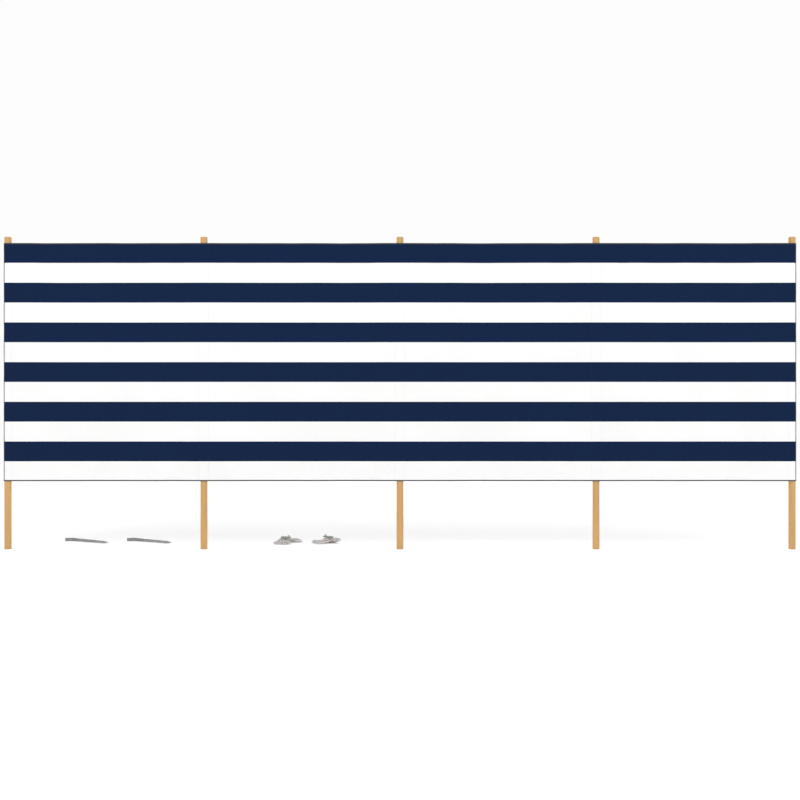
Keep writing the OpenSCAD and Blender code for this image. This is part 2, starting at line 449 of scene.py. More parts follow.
def rope_finish(name, colour, ropes):
    """Braided rope with painted shade in the braid's grooves, whose UV runs round it from 0 to 1
    and back, and along it in metres.
    """
    finish = Finish(name, 0.82, Specular_IOR_Level=0.2, Sheen_Weight=0.05)
    turn, length, _ = finish.axes(finish.surface())
    around = finish.calc("MULTIPLY", turn, math.pi * ropes.plaits)
    along = finish.calc("MULTIPLY", length, math.tau / ropes.braid_pitch)
    one = finish.calc("SINE", finish.calc("ADD", along, around))
    other = finish.calc("SINE", finish.calc("SUBTRACT", along, around))
    braid = finish.calc("MAXIMUM", one, other)
    fuzz = finish.noise(finish.place(), 900, 3)
    soil = finish.noise(finish.place(), 22, 3)
    soiled = [part * keep for part, keep in zip(colour, (0.9, 0.84, 0.8))]
    base = finish.mix(finish.span(soil, 0.4, 0.7), colour, soiled)
    # Painted shade: the braid's low lines, between its plaits, are darkened in the colour; the fuzz
    # is a random tone
    finish.paint(base, (braid, -0.4, 0.9, 0.77, 1.0), (fuzz, 0.3, 0.7, -0.08, 0.0))
    finish.bump(braid, 0.00045, 0.9)
    finish.bump(fuzz, 0.0001, 0.5)
    return finish.material


def plastic_finish(ropes):
    """Moulded plastic with a fine matt grain."""
    finish = Finish("moulded_plastic", 0.45, Specular_IOR_Level=0.4)
    grain = finish.noise(finish.place(), 1400, 2)
    wear = finish.noise(finish.place(), 45, 4)
    finish.paint(ropes.runner_colour, (wear, 0.3, 0.7, 0.82, 1.05))
    finish.bump(grain, 0.00005, 0.6)
    return finish.material


def floor_finish(stage):
    """A plain matt finish for the floor."""
    finish = Finish("pale_floor", 0.9, Specular_IOR_Level=0.0)
    finish.feed(finish.shader.inputs["Base Color"], stage.floor_colour)
    return finish.material


def paint_node(node, material):
    """Puts a material in every slot of a CAD node."""
    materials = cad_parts[node].data.materials
    for k in range(len(materials)):
        materials[k] = material
    if not materials:
        materials.append(material)


# ---- Cloth ----


def bay_span(bay):
    """Where a bay's cloth starts and ends along x."""
    start = POLE_X[1] if bay == 1 else POLE_X[bay] + (-BAY_EDGE if bay == 2 else BAY_EDGE)
    end = POLE_X[5] if bay == 4 else POLE_X[bay + 1] + (BAY_EDGE if bay in (2, 3) else -BAY_EDGE)
    return start, end


def slack(bay, x, z, cloth):
    """How far the cloth hangs back from its flat line at x and z, in metres."""
    left, right = POLE_X[bay] + BEND_FAR, POLE_X[bay + 1] - BEND_FAR
    width, height = right - left, CLOTH_HIGH - CLOTH_LOW
    s = np.clip((x - left) / width, 0, 1)
    t = np.clip((z - CLOTH_LOW) / height, 0, 1)
    rng = np.random.default_rng(cloth.seed + bay)
    hold = smooth(s / HELD_SHARE) * smooth((1 - s) / HELD_SHARE)
    edge = 0.35 + 0.65 * np.abs(2 * t - 1) ** 1.6
    total = cloth.billow * np.sin(math.pi * s) * (0.85 + 0.15 * np.cos(math.tau * (t - 0.45)))
    for turns, share in FOLD_WAVES:
        lean, phase, sway = rng.uniform(-1.2, 1.2), rng.uniform(0, math.tau), rng.uniform(0.2, 0.9)
        wave = np.cos(math.tau * turns * s + phase + lean * t + sway * np.sin(math.tau * t))
        total = total + cloth.folds * share * wave * edge
    for corner_s, corner_t in ((0, 0), (0, 1), (1, 0), (1, 1)):
        out = np.abs(s - corner_s) * width
        up = np.abs(t - corner_t) * height
        reach = np.hypot(out, up)
        angle_up = np.arctan2(up, out + 0.001)
        fade = np.exp(-reach / CREASE_REACH) * smooth(reach / CREASE_START)
        fan = np.cos(angle_up * CREASE_TURNS + rng.uniform(0, math.tau))
        total = total + cloth.creases * fade * fan
    for _ in range(RIPPLES):
        direction, scale = rng.uniform(0, math.pi), rng.uniform(5, 19)
        wave = scale * (np.cos(direction) * x + np.sin(direction) * z) + rng.uniform(0, math.tau)
        total = total + cloth.ripple / RIPPLES * np.sin(wave)
    return hold * 0.5 * (total + np.sqrt(total * total + SOFT_STOP**2))


def bend_zone(bay):
    """Where a bay's cloth bends beside its pole: the x nearest the pole and the x furthest."""
    side = -1 if bay == 1 else 1
    pole = POLE_X[BAY_BENDS[bay][2]]
    return pole + side * BEND_NEAR, pole + side * BEND_FAR


def bay_columns(bay):
    """A bay's columns from left to right: x, y, outward direction, and distance along it."""
    bend = sorted(bend_zone(bay)) if bay in BAY_BENDS else []
    marks = sorted([*bay_span(bay), *bend])
    xs = []
    for low, high in zip(marks[:-1], marks[1:]):
        step = BEND_STEP if [low, high] == bend else CLOTH_STEP
        spaces = max(1, math.ceil((high - low) / step - 1e-6))
        xs += list(np.linspace(low, high, spaces, endpoint=False))
    columns = [(x, CLOTH_Y, 0.0, -1.0, x) for x in [*xs, marks[-1]]]
    if bay not in OPEN_ENDS:
        return np.array(columns)
    pole, side = OPEN_ENDS[bay]
    ring = []
    for a in np.linspace(0, math.pi / 2, 10)[1:]:
        out_x, out_y = side * math.sin(a), -math.cos(a)
        place = (POLE_X[pole] + WRAP_R * out_x, WRAP_R * out_y)
        ring.append((*place, out_x, out_y, POLE_X[pole] + side * WRAP_R * a))
    return np.array(columns + ring if side > 0 else ring[::-1] + columns)


def bay_points(bay, columns, z, out, cloth):
    """Points of a bay's cloth at height z, moved out along its outward direction."""
    back = slack(bay, columns[:, 0], z, cloth)
    x = columns[:, 0] + columns[:, 2] * out
    y = columns[:, 1] + columns[:, 3] * out + back
    return np.stack(np.broadcast_arrays(x, y, z), -1)


def attach_bay(obj, bay):
    """Makes a second-bay piece move with that bay; any other bay's piece only has its place baked
    into its mesh.
    """
    if bay not in BAY_BENDS:
        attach(obj, "bay_2")
        return
    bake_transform(obj)


def build_bay(bay, cloth, canvas):
    """One bay's cloth: a closed woven sheet that hangs a little slack between its poles."""
    columns = bay_columns(bay)
    low, high = CLOTH_LOW + cloth.tuck, CLOTH_HIGH - cloth.tuck
    heights = np.linspace(low, high, math.ceil((high - low) / cloth.cell) + 1)
    half = cloth.thickness / 2
    sides = []
    for out in (half, -half):
        sides.append(np.stack([bay_points(bay, columns, z, out, cloth) for z in heights]))
    points, faces = closed_sheet(*sides)
    grid = np.stack(np.broadcast_arrays(columns[None, :, 4], heights[:, None]), -1).reshape(-1, 2)
    obj = make_piece(f"cloth_bay_{bay}", points, faces, canvas, np.concatenate([grid, grid]))
    attach_bay(obj, bay)
    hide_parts(f"navy_stripes_bay_{bay}", f"white_stripes_bay_{bay}")


def pocket_line(i):
    """A pocket strip's line in plan, from left to right round the pole's back."""
    foot_x, foot_y = SLEEVE_R + 0.004, -CLOTH_BACK - POCKET_GAP
    touch = math.acos(WRAP_R / math.hypot(foot_x, foot_y)) - math.atan2(foot_y, foot_x)
    left, right = i != 1, i != 5
    arc = np.linspace(math.pi - touch if left else math.pi, touch if right else 0.0, 27)
    line = [(WRAP_R * math.cos(a), WRAP_R * math.sin(a)) for a in arc]
    flange = [(x, -foot_y) for x in (SEAM_R - 0.0003, SEAM_R - 0.0022, foot_x)]
    if left:
        line = [(-x, y) for x, y in flange] + line
    if right:
        line = line + flange[::-1]
    return np.array(line)


def build_pocket(i, cloth, canvas):
    """The strip sewn behind a pole, puckered a little where it goes round the pole's back."""
    line = pocket_line(i)
    along, tangent = distances(line), directions(line)
    rows = math.ceil((POCKET_HIGH - POCKET_LOW) / POCKET_STEP) + 1
    heights = np.linspace(POCKET_LOW, POCKET_HIGH, rows)
    grid_a, grid_z = np.meshgrid(along, heights)
    rng = np.random.default_rng(cloth.seed + 20 + i)
    waves = np.zeros_like(grid_a)
    for _ in range(8):
        rise, turns = rng.uniform(18, 95), rng.uniform(-40, 40)
        waves += np.sin(grid_z * rise + grid_a * turns + rng.uniform(0, math.tau))
    round_back = np.clip(line[:, 1] / WRAP_R, 0, 1)
    pucker = cloth.pucker * round_back * np.clip(0.5 + waves / 5, 0, 1.6)
    from_end = np.minimum(heights - POCKET_LOW, POCKET_HIGH - heights)
    thick = cloth.thickness * (1 + 0.7 * np.exp(-from_end / HEM_H))
    sides = []
    for out in (-0.5, 0.5):
        lift = pucker + out * thick[:, None]
        x = POLE_X[i] + line[:, 0] - tangent[:, 1] * lift
        sides.append(np.stack([x, line[:, 1] + tangent[:, 0] * lift, grid_z], -1))
    points, faces = closed_sheet(*sides)
    uv = np.stack([POLE_X[i] + grid_a, grid_z], -1).reshape(-1, 2)
    obj = make_piece(f"pocket_{i}", points, faces, canvas, np.concatenate([uv, uv]))
    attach(obj, POLE_BODY[i])
    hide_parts(f"pole_pocket_{i}")


# ---- Tape ----


def tape_section(binding):
    """A folded tape's section: (out from the cloth, up from the cloth's edge) round its outline."""
    half = binding.thickness / 2
    turn = np.linspace(0, math.pi, 6)
    bend = [(-half * math.cos(a), half * 0.8 * (1 - math.sin(a))) for a in turn]
    side = [(half, TAPE_W * 0.6), (half * 0.86, TAPE_W)]
    return bend + side + [(-out, up) for out, up in side[::-1]]


def build_tape(bay, binding, cloth, finish):
    """The tape folded over a bay's bottom and top edges, and round its open end."""
    columns = bay_columns(bay)
    solids = []
    for edge, way in ((CLOTH_LOW, 1), (CLOTH_HIGH, -1)):
        rings = []
        for out, up in tape_section(binding):
            placed = bay_points(bay, columns, edge + way * TAPE_GRIP, out, cloth)
            placed[:, 2] = edge + way * up
            rings.append(placed)
        solids.append(swept_solid(np.stack(rings if way < 0 else rings[::-1], 1)))
    if bay in OPEN_ENDS:
        solids.append(end_tape(bay, binding))
    points, faces = [], []
    for made, quads in solids:
        before = sum(len(part) for part in points)
        faces += [[k + before for k in quad] for quad in quads]
        points.append(made)
    obj = make_piece(f"edge_tape_bay_{bay}", np.concatenate(points), faces, finish, sharp=60)
    attach_bay(obj, bay)
    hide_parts(f"edge_binding_bay_{bay}")


def end_tape(bay, binding):
    """The tape down the open end of the first or last bay, round the pole's outer side."""
    pole, side = OPEN_ENDS[bay]
    heights = np.linspace(CLOTH_LOW, CLOTH_HIGH, 121)
    angles = np.linspace(-binding.end_turn, binding.end_turn, 13)
    inner = WRAP_R + 0.0006
    outer = inner + binding.thickness * 0.5
    wobble = 0.00025 * np.sin(heights * 61) * np.sin(heights * 23 + 1)
    outline = [(inner, angles[0]), *[(outer + wobble, a) for a in angles]]
    outline += [(inner, a) for a in angles[:0:-1]]
    rings = []
    for radius, a in outline:
        x, y = POLE_X[pole] + side * radius * math.cos(a), radius * math.sin(a)
        rings.append(np.stack(np.broadcast_arrays(x, y, heights), -1))
    return swept_solid(np.stack(rings if side > 0 else rings[::-1], 1))


# ---- Stitches ----


def stitch_tree():
    """Geometry Nodes that lay one stitch after another along each line of the mesh."""
    tree = bpy.data.node_groups.new("windbreak_stitches", "GeometryNodeTree")
    for name, kind, value in (
        ("Lines", "NodeSocketGeometry", None),
        ("Spacing", "NodeSocketFloat", 0.005),
        ("Stitch Length", "NodeSocketFloat", 0.003),
        ("Thread Width", "NodeSocketFloat", 0.0007),
        ("Seed", "NodeSocketInt", 7),
        ("Thread", "NodeSocketMaterial", None),
    ):
        socket = tree.interface.new_socket(name, in_out="INPUT", socket_type=kind)
        if value is not None:
            socket.default_value = value
    tree.interface.new_socket("Stitches", in_out="OUTPUT", socket_type="NodeSocketGeometry")
    node, join = tree.nodes.new, tree.links.new
    given, result = node("NodeGroupInput"), node("NodeGroupOutput")
    curve, spaced = node("GeometryNodeMeshToCurve"), node("GeometryNodeResampleCurve")
    spaced.mode = "LENGTH"
    join(given.outputs["Lines"], curve.inputs["Mesh"])
    join(curve.outputs[0], spaced.inputs["Curve"])
    join(given.outputs["Spacing"], spaced.inputs["Length"])
    bead = node("GeometryNodeMeshUVSphere")
    bead.inputs["Segments"].default_value = 5
    bead.inputs["Rings"].default_value = 3
    bead.inputs["Radius"].default_value = 0.5
    chance = node("FunctionNodeRandomValue")
    chance.data_type = "FLOAT_VECTOR"
    chance.inputs["Min"].default_value = (0.9, 0.9, 0.88)
    chance.inputs["Max"].default_value = (1.1, 1.1, 1.06)
    join(given.outputs["Seed"], chance.inputs["Seed"])
    shape = node("ShaderNodeCombineXYZ")
    for name, axis in (("Thread Width", 0), ("Thread Width", 1), ("Stitch Length", 2)):
        join(given.outputs[name], shape.inputs[axis])
    size = node("ShaderNodeVectorMath")
    size.operation = "MULTIPLY"
    join(shape.outputs[0], size.inputs[0])
    join(chance.outputs["Value"], size.inputs[1])
    turn = node("FunctionNodeAlignRotationToVector")
    turn.axis = "Z"
    join(node("GeometryNodeInputTangent").outputs[0], turn.inputs["Vector"])
    placed = node("GeometryNodeInstanceOnPoints")
    join(spaced.outputs[0], placed.inputs["Points"])
    join(bead.outputs["Mesh"], placed.inputs["Instance"])
    join(turn.outputs[0], placed.inputs["Rotation"])
    join(size.outputs[0], placed.inputs["Scale"])
    real, painted = node("GeometryNodeRealizeInstances"), node("GeometryNodeSetMaterial")
    join(placed.outputs[0], real.inputs[0])
    join(real.outputs[0], painted.inputs["Geometry"])
    join(given.outputs["Thread"], painted.inputs["Material"])
    join(painted.outputs[0], result.inputs[0])
    return tree


def stitch_piece(name, lines, stitches, tree, thread):
    """Plain mesh stitches along lines of points."""
    points, edges = [], []
    for line in lines:
        edges += [(len(points) + k, len(points) + k + 1) for k in range(len(line) - 1)]
        points += np.asarray(line).tolist()
    guide = bpy.data.meshes.new(name + "_guide")
    guide.from_pydata(points, edges, [])
    carrier = bpy.data.objects.new(name + "_guide", guide)
    bpy.context.scene.collection.objects.link(carrier)
    modifier = carrier.modifiers.new("stitches", "NODES")
    modifier.node_group = tree
    values = {
        "Spacing": stitches.spacing,
        "Stitch Length": stitches.length,
        "Thread Width": stitches.width,
        "Seed": stitches.seed,
        "Thread": thread,
    }
    for item in tree.interface.items_tree:
        if item.in_out == "INPUT" and item.name in values:
            modifier[item.identifier] = values[item.name]
    bpy.context.view_layer.update()
    evaluated = carrier.evaluated_get(bpy.context.evaluated_depsgraph_get())
    mesh = bpy.data.meshes.new_from_object(evaluated)
    mesh.name = name
    bpy.data.objects.remove(carrier)
    bpy.data.meshes.remove(guide)
    if not mesh.polygons:
        raise RuntimeError(f"{name}: no stitches were made")
    mesh.shade_smooth()
    obj = bpy.data.objects.new(name, mesh)
    bpy.context.scene.collection.objects.link(obj)
    return obj


def seam_stitches(i, stitches, cloth, tree, thread):
    """The two rows of stitches down each side of a pole, on the front and on the back."""
    heights = np.linspace(POCKET_LOW + 0.004, POCKET_HIGH - 0.004, 60)
    sunk = cloth.thickness / 2 + stitches.width * 0.2
    lines = []
    for side in (-1, 1):
        if (i, side) in OPEN_ENDS.values():
            continue
        for out in SEAM_ROWS:
            for y in (CLOTH_Y - sunk, CLOTH_BACK + POCKET_GAP + sunk):
                x = POLE_X[i] + side * (SEAM_R - out)
                lines.append(np.stack(np.broadcast_arrays(x, y, heights), -1))
    obj = stitch_piece(f"seam_stitches_{i}", lines, stitches, tree, thread)
    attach(obj, POLE_BODY[i])


def tape_stitches(bay, stitches, binding, cloth, tree, thread):
    """The row of stitches along each taped edge, on the front and on the back."""
    columns = bay_columns(bay)
    lines = []
    for z in (CLOTH_LOW + TAPE_W * 0.7, CLOTH_HIGH - TAPE_W * 0.7):
        for out in (binding.thickness / 2, -binding.thickness / 2):
            lines.append(bay_points(bay, columns, z, out, cloth))
    obj = stitch_piece(f"tape_stitches_bay_{bay}", lines, stitches, tree, thread)
    attach_bay(obj, bay)


# ---- Pegs ----


def peg_rings(pegs):
    """Rings along a peg: a half-round channel with pressed ribs, a hook and a point."""
    width = node_high("peg_1").z - node_low("peg_1").z
    line = []
    for d in np.linspace(pegs.hook, 0, 16)[:-1]:
        x = -PEG_BEND_R * math.sin(pegs.bend) - d * math.cos(pegs.bend)
        y = PEG_BEND_R * (math.cos(pegs.bend) - 1) - d * math.sin(pegs.bend)
        line.append((x, y, pegs.bend, 0))
    for a in np.linspace(pegs.bend, 0, 13):
        line.append((-PEG_BEND_R * math.sin(a), PEG_BEND_R * (math.cos(a) - 1), a, 0))
    for d in np.arange(0.002, pegs.shaft + 1e-6, 0.002):
        line.append((d, 0, 0, d))
    x, y, heading, d = np.array(line, float).T[..., None]
    point_at = pegs.shaft - PEG_POINT
    f = np.clip((d - point_at) / PEG_POINT, 0, 1)
    radius = width / 2 * np.where(
        d < point_at, 1 - 0.25 * d / point_at, 0.75 - 0.75 * f**1.25 + 0.09 * f
    )
    ribbed = smooth((d - 0.02) / 0.012) * smooth((point_at - d) / 0.012)
    rib = pegs.rib * ribbed * (0.5 + 0.5 * np.cos(math.tau * d / pegs.rib_pitch))
    tilt = np.linspace(-math.pi / 2, math.pi / 2, 17)
    outer = radius - rib * np.cos(tilt) ** 2
    inner = np.maximum(outer - np.minimum(pegs.wall, radius * 0.55), 0.0002)
    out = np.hstack([outer, inner[:, ::-1]])
    tilt = np.concatenate([tilt, tilt[::-1]])
    x, y = (
        x - out * np.cos(tilt) * np.sin(heading),
        y + out * np.cos(tilt) * np.cos(heading),
    )
    c, s = math.cos(pegs.turn), math.sin(pegs.turn)
    return np.stack([c * x - s * y, s * x + c * y, out * np.sin(tilt) + width / 2], -1)


def build_peg(i, pegs, steel):
    """One steel peg, lying on its side on the ground."""
    low, high = node_low(f"peg_{i}"), node_high(f"peg_{i}")
    rings = peg_rings(pegs)
    shift = (high.x - rings[..., 0].max(), high.y - rings[..., 1].max(), low.z)
    points, faces = swept_solid(rings + np.array(shift))
    obj = make_piece(f"steel_peg_{i}", points, faces, steel, sharp=40)
    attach(obj, "bay_2")
    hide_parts(f"peg_{i}")


# ---- Ropes. A hank's path is in millimetres about its waist, on the ground ----

MM = 1000
STRAND_SLOTS = (6, 8, 8, 6)
ACROSS = np.array([math.cos(math.radians(150)), math.sin(math.radians(150))])
ALONG = np.array([math.cos(math.radians(60)), math.sin(math.radians(60))])
# Where the rope leaves its slider's hole, across the waist and along it
SLIDER_HOLE = (-34.6, -0.8)
# From a hank's waist to the middle of its slider, in metres
SLIDER_OFFSET = np.array([0.014, -0.009])


def waist_slots(ropes):
    """Each strand's place across the waist, its lane in the lobes, and its layer, in order."""
    gap, lane = ropes.strand_gap * MM, ropes.fold_r * MM * 1.19
    slots = []
    for layer, strands in enumerate(STRAND_SLOTS):
        offs = [(strands - 1) / 2 - k for k in range(strands)]
        for off in offs if layer % 2 == 0 else offs[::-1]:
            slots.append((off * gap, off * lane, layer))
    return slots


def waist_point(slot, way, ropes):
    """Where a strand leaves the binding turns, on the side that way points to."""
    flat = ACROSS * slot[0] + ALONG * 9.0 * way
    return np.array([*flat, 13.0 + (slot[2] - 1.5) * ropes.strand_gap * MM])


def lobe_lane(slot, way, end, heading, ropes):
    """A strand's way from the waist out to where its fold starts."""
    start = waist_point(slot, way, ropes)
    reach = np.linalg.norm(end[:2] - start[:2])
    t = np.linspace(0, 1, 26)[:, None]
    p1 = start[:2] + ALONG * way * reach * 0.36
    p2 = end[:2] - heading * reach * 0.38
    flat = (1 - t) ** 3 * start[:2] + 3 * (1 - t) ** 2 * t * p1
    flat = flat + 3 * (1 - t) * t**2 * p2 + t**3 * end[:2]
    z = start[2] + (end[2] - start[2]) * smooth(t * 1.25)
    return np.hstack([flat, z])


def lobe_loop(first, second, way, ropes, rng):
    """One folded loop of a lobe, from the waist out along one strand and back along the next."""
    thick, fold_r = ropes.diameter * MM, ropes.fold_r * MM
    crossing = first[2] != second[2]
    lane = (first[1] + second[1]) / 2
    if crossing and first[1] == second[1]:
        lane += fold_r * 0.6
    turn = math.radians(30 if way > 0 else -90) + way * lane / 88
    reach = ropes.lobe_l * MM - 4.5 * first[2] + rng.uniform(-3, 3) + (5 if crossing else 0)
    heading = np.array([math.cos(turn), math.sin(turn)])
    lateral = np.array([-heading[1], heading[0]]) * way
    radius = fold_r * rng.uniform(0.97, 1.0)
    centre = heading * reach
    outer = 1 if first[1] > second[1] else -1
    heights = [thick * (0.515 + 1.03 * slot[2]) for slot in (first, second)]
    theta = np.linspace(0, math.pi, 15)
    sweep = centre + radius * (
        np.cos(theta)[:, None] * lateral * outer + np.sin(theta)[:, None] * heading
    )
    level = heights[0] + (heights[1] - heights[0]) * smooth(theta / math.pi)
    fold = np.hstack([sweep, level[:, None]])
    out = lobe_lane(first, way, fold[0], heading, ropes)
    back = lobe_lane(second, way, fold[-1], heading, ropes)[::-1]
    return [out, fold[1:-1], back]


def from_waist(points):
    """Points given across the waist, along it and up, turned into plain x, y, z."""
    points = np.asarray(points, float)
    return np.hstack([points[:, :1] * ACROSS + points[:, 1:2] * ALONG, points[:, 2:]])


def binding_turns():
    """The turns round the waist, which end under it and go out towards the slider."""
    half, radius, centre, drop = 11.0, 10.9, 13.0, 4.4
    flat = np.linspace(1, -1, 12)[:, None]
    bend = np.linspace(0, math.pi, 14)[1:-1, None]
    under = np.hstack([flat * half, flat * 0 + centre - radius])
    right = np.hstack([-half - radius * np.sin(bend), centre - radius * np.cos(bend)])
    over = np.hstack([-flat * half, flat * 0 + centre + radius])
    left = np.hstack([half + radius * np.sin(bend), centre + radius * np.cos(bend)])
    turn = np.concatenate([under, right, over, left])
    rounds = np.concatenate([turn, turn, turn, under])
    travel = np.linspace(0, 3.2, len(rounds))
    along = 6.6 - np.minimum(travel, 3.0) * drop
    return from_waist(np.stack([rounds[:, 0], along, rounds[:, 1]], -1))


def hank_path(ropes, seed):
    """The whole rope: its eye, the folds of both lobes, the binding turns, and its knotted end."""
    rng = np.random.default_rng(seed)
    slots = waist_slots(ropes)
    low = ropes.diameter * MM * 0.525
    eye = [
        (-16.6, 29.3, 4.3), (-21.1, 34.7, 4.3), (-27.5, 38.6, 2.9), (-35, 39.4, low),
        (-40.8, 45.5, low), (-39.3, 54, low), (-31, 58.2, low), (-23, 54.5, low),
        (-19.6, 46.5, 2.9), (-17.4, 37.8, 4.3), (-12.2, 30.4, 4.3), (-5.4, 22.4, 4.6),
    ]
    first = waist_point(slots[0], 1, ropes)
    parts = [smooth_path([*eye, first, waist_point(slots[0], -1, ropes)], 8)[:-1]]
    for n in range(len(slots) - 1):
        way = -1 if n % 2 == 0 else 1
        parts += lobe_loop(slots[n], slots[n + 1], way, ropes, rng)
    last = waist_point(slots[-1], 1, ropes)
    before = waist_point(slots[-1], -1, ropes)
    turns = binding_turns()
    entry = from_waist([(14.5, 15.2, 20.2), (21, 17.2, 18.6), (26, 14.6, 11.5), (23, 9.8, 4.2)])
    parts.append(smooth_path([before, last, *entry, turns[0], turns[2]], 8)[9:-8])
    parts.append(turns)
    rise = from_waist([
        (-18, -5.8, 2.1), (-25.5, -3.6, 4.2), (-31.8, -1.6, 10), (-34.4, -0.9, 17.5),
        *[(*SLIDER_HOLE, height) for height in (25, 33, 41)],
    ])
    parts.append(smooth_path([turns[-3], turns[-1], *rise], 8)[9:])
    whole = np.concatenate(parts)
    keep = np.concatenate([[True], steps_of(whole) > 0.05])
    return even_path(whole[keep], 2.6)


def whipping_path():
    """Twine bound round the rope where its eye closes."""
    heading = np.array([0.643, -0.766, 0.0])
    side = np.array([0.766, 0.643, 0.0])
    t = np.linspace(0, 6 * math.tau, 150)
    wide = np.cos(t)[:, None] * 5.2 * side
    high = np.sin(t)[:, None] * np.array([0, 0, 3.2])
    return np.array([-19.2, 36.2, 4.5]) + wide + high + heading * (t[:, None] / math.tau - 3) * 2.1


def stopper_path():
    """The stopper knot's turns about the rope's end, on top of the slider."""
    t = np.linspace(0, 2.4 * math.tau, 60)
    radius = 4.15 - 0.5 * smooth((t - 12) / 3)
    turns = np.stack([radius * np.cos(t), radius * np.sin(t), 34.3 + t / math.tau * 2.5], -1)
    return turns + from_waist([(*SLIDER_HOLE, 0)])


def placed_hank(points, i):
    """Hank points in metres in the frame, at rope i. The second hank is the first turned round."""
    low, high = node_low(f"rope_runner_{i}"), node_high(f"rope_runner_{i}")
    way = 1 if i == 1 else -1
    centre = np.array([(low.x + high.x) / 2, (low.y + high.y) / 2]) - SLIDER_OFFSET * way
    flat = centre + points[:, :2] / MM * way
    return np.hstack([flat, points[:, 2:] / MM + node_low(f"guy_rope_{i}").z])


def build_rope(i, ropes, rope, twine):
    """One guy rope in its bound hank, with its whipped eye and its stopper knot."""
    path = placed_hank(hank_path(ropes, ropes.seed + i), i)
    obj = tube_piece(f"guy_rope_coil_{i}", path, ropes.diameter / 2, 10, rope)
    whipping = tube_piece(f"eye_whipping_{i}", placed_hank(whipping_path(), i), 0.0011, 7, twine)
    stopper = tube_piece(f"stopper_knot_{i}", placed_hank(stopper_path(), i), 0.0019, 10, rope)
    for piece in (obj, whipping, stopper):
        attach(piece, "bay_2")
    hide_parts(f"guy_rope_{i}")
    length = float(steps_of(path).sum())
    return length


# ---- Stage ----

FLOOR_Z = -0.0005
SENSOR_W = 36


def area_light(name, place, target, size, power):
    """A soft square lamp that faces a point."""
    data = bpy.data.lights.new(name, "AREA")
    data.shape = "SQUARE"
    data.size = size
    data.energy = power
    lamp = bpy.data.objects.new(name, data)
    direction = Vector(target) - Vector(place)
    lamp.location = place
    lamp.rotation_euler = direction.to_track_quat("-Z", "Y").to_euler()
    bpy.context.scene.collection.objects.link(lamp)
    return lamp


def build_stage(stage):
    """The camera, a wide pale floor, an even white sky and soft lamps."""
    scene = bpy.context.scene
    data = bpy.data.cameras.new("camera")
    data.lens = stage.lens
    data.sensor_width = SENSOR_W
    data.dof.use_dof = False
    camera = bpy.data.objects.new("camera", data)
    distance = stage.view_width * stage.lens / SENSOR_W
    camera.location = (0, CLOTH_Y - distance, stage.view_height)
    camera.rotation_euler = (math.pi / 2, 0, 0)
    scene.collection.objects.link(camera)
    scene.camera = camera
    world = bpy.data.worlds.new("even_sky")
    world.use_nodes = True
    sky = world.node_tree.nodes["Background"]
    sky.inputs["Color"].default_value = (1, 1, 1, 1)
    sky.inputs["Strength"].default_value = stage.sky
    scene.world = world
    scene.view_settings.view_transform = "Standard"
    half = stage.floor_size / 2
    corners = [(x * half, y * half, FLOOR_Z) for x, y in ((-1, -1), (1, -1), (1, 1), (-1, 1))]
    floor = make_piece("floor", corners, [[0, 1, 2, 3]], floor_finish(stage))
    lamps = [
        area_light("key_lamp", (-2.6, -4.2, 4.4), (0, 0, 0.6), 3.0, stage.key),
        area_light("fill_lamp", (3.6, -3.2, 3.0), (0, 0, 0.6), 3.5, stage.fill),
        area_light("back_lamp", (0.5, 4.5, 4.0), (0, 0, 0.6), 3.5, stage.fill),
    ]


# ---- Settings ----


def size(name, about, metres):
    """A length that a user can change."""
    return FloatProperty(name=name, description=about, default=metres, unit="LENGTH")


def number(name, about, value, unit="NONE"):
    """A plain number that a user can change."""
    return FloatProperty(name=name, description=about, default=value, unit=unit)


def angle(name, about, degrees):
    """An angle that a user can change."""
    default = math.radians(degrees)
    return FloatProperty(name=name, description=about, default=default, subtype="ANGLE")


def count(name, about, value):
    """A whole number that a user can change."""
    return IntProperty(name=name, description=about, default=value)


def tint(name, about, colour):
    """A colour that a user can change."""
    return FloatVectorProperty(name=name, description=about, default=colour, subtype="COLOR")


class WindbreakStage(bpy.types.PropertyGroup):
    """The camera, floor and light."""

    lens: number("Lens", "The camera's focal length in millimetres", 50)
    view_width: size("View Width", "How wide the view is where the cloth stands", 4.03)
    view_height: size("View Height", "How high the camera stands", 0.752)
    floor_size: size("Floor Size", "The floor's side", 120)
    floor_colour: tint("Floor Colour", "The floor's colour", (0.985, 0.985, 0.985))
    sky: number("Sky", "How bright the even sky is", 0.98)
    key: number("Key Lamp", "The main lamp's power", 80, "POWER")
    fill: number("Fill Lamps", "Each other lamp's power", 40, "POWER")


class WindbreakRopes(bpy.types.PropertyGroup):
    """The guy ropes, their hanks and their sliders."""

    diameter: size("Diameter", "The rope's thickness", 0.004)
    fold_r: size("Fold Radius", "The radius of a loop's fold", 0.011)
    lobe_l: size("Lobe Length", "The distance from the waist to a loop's fold", 0.086)
    strand_gap: size("Strand Gap", "The distance between strands at the waist", 0.00445)
    braid_pitch: size("Braid Pitch", "The braid's repeat along the rope", 0.0042)
    plaits: count("Plaits", "Plaits of the braid round the rope", 6)
    seed: count("Seed", "The number that varies the loops", 11)
    colour: tint("Rope Colour", "The rope's colour", (0.84, 0.82, 0.80))
    twine_colour: tint("Twine Colour", "The eye's binding", (0.28, 0.20, 0.17))
    runner_colour: tint("Slider Colour", "The sliders' plastic", (0.29, 0.30, 0.27))


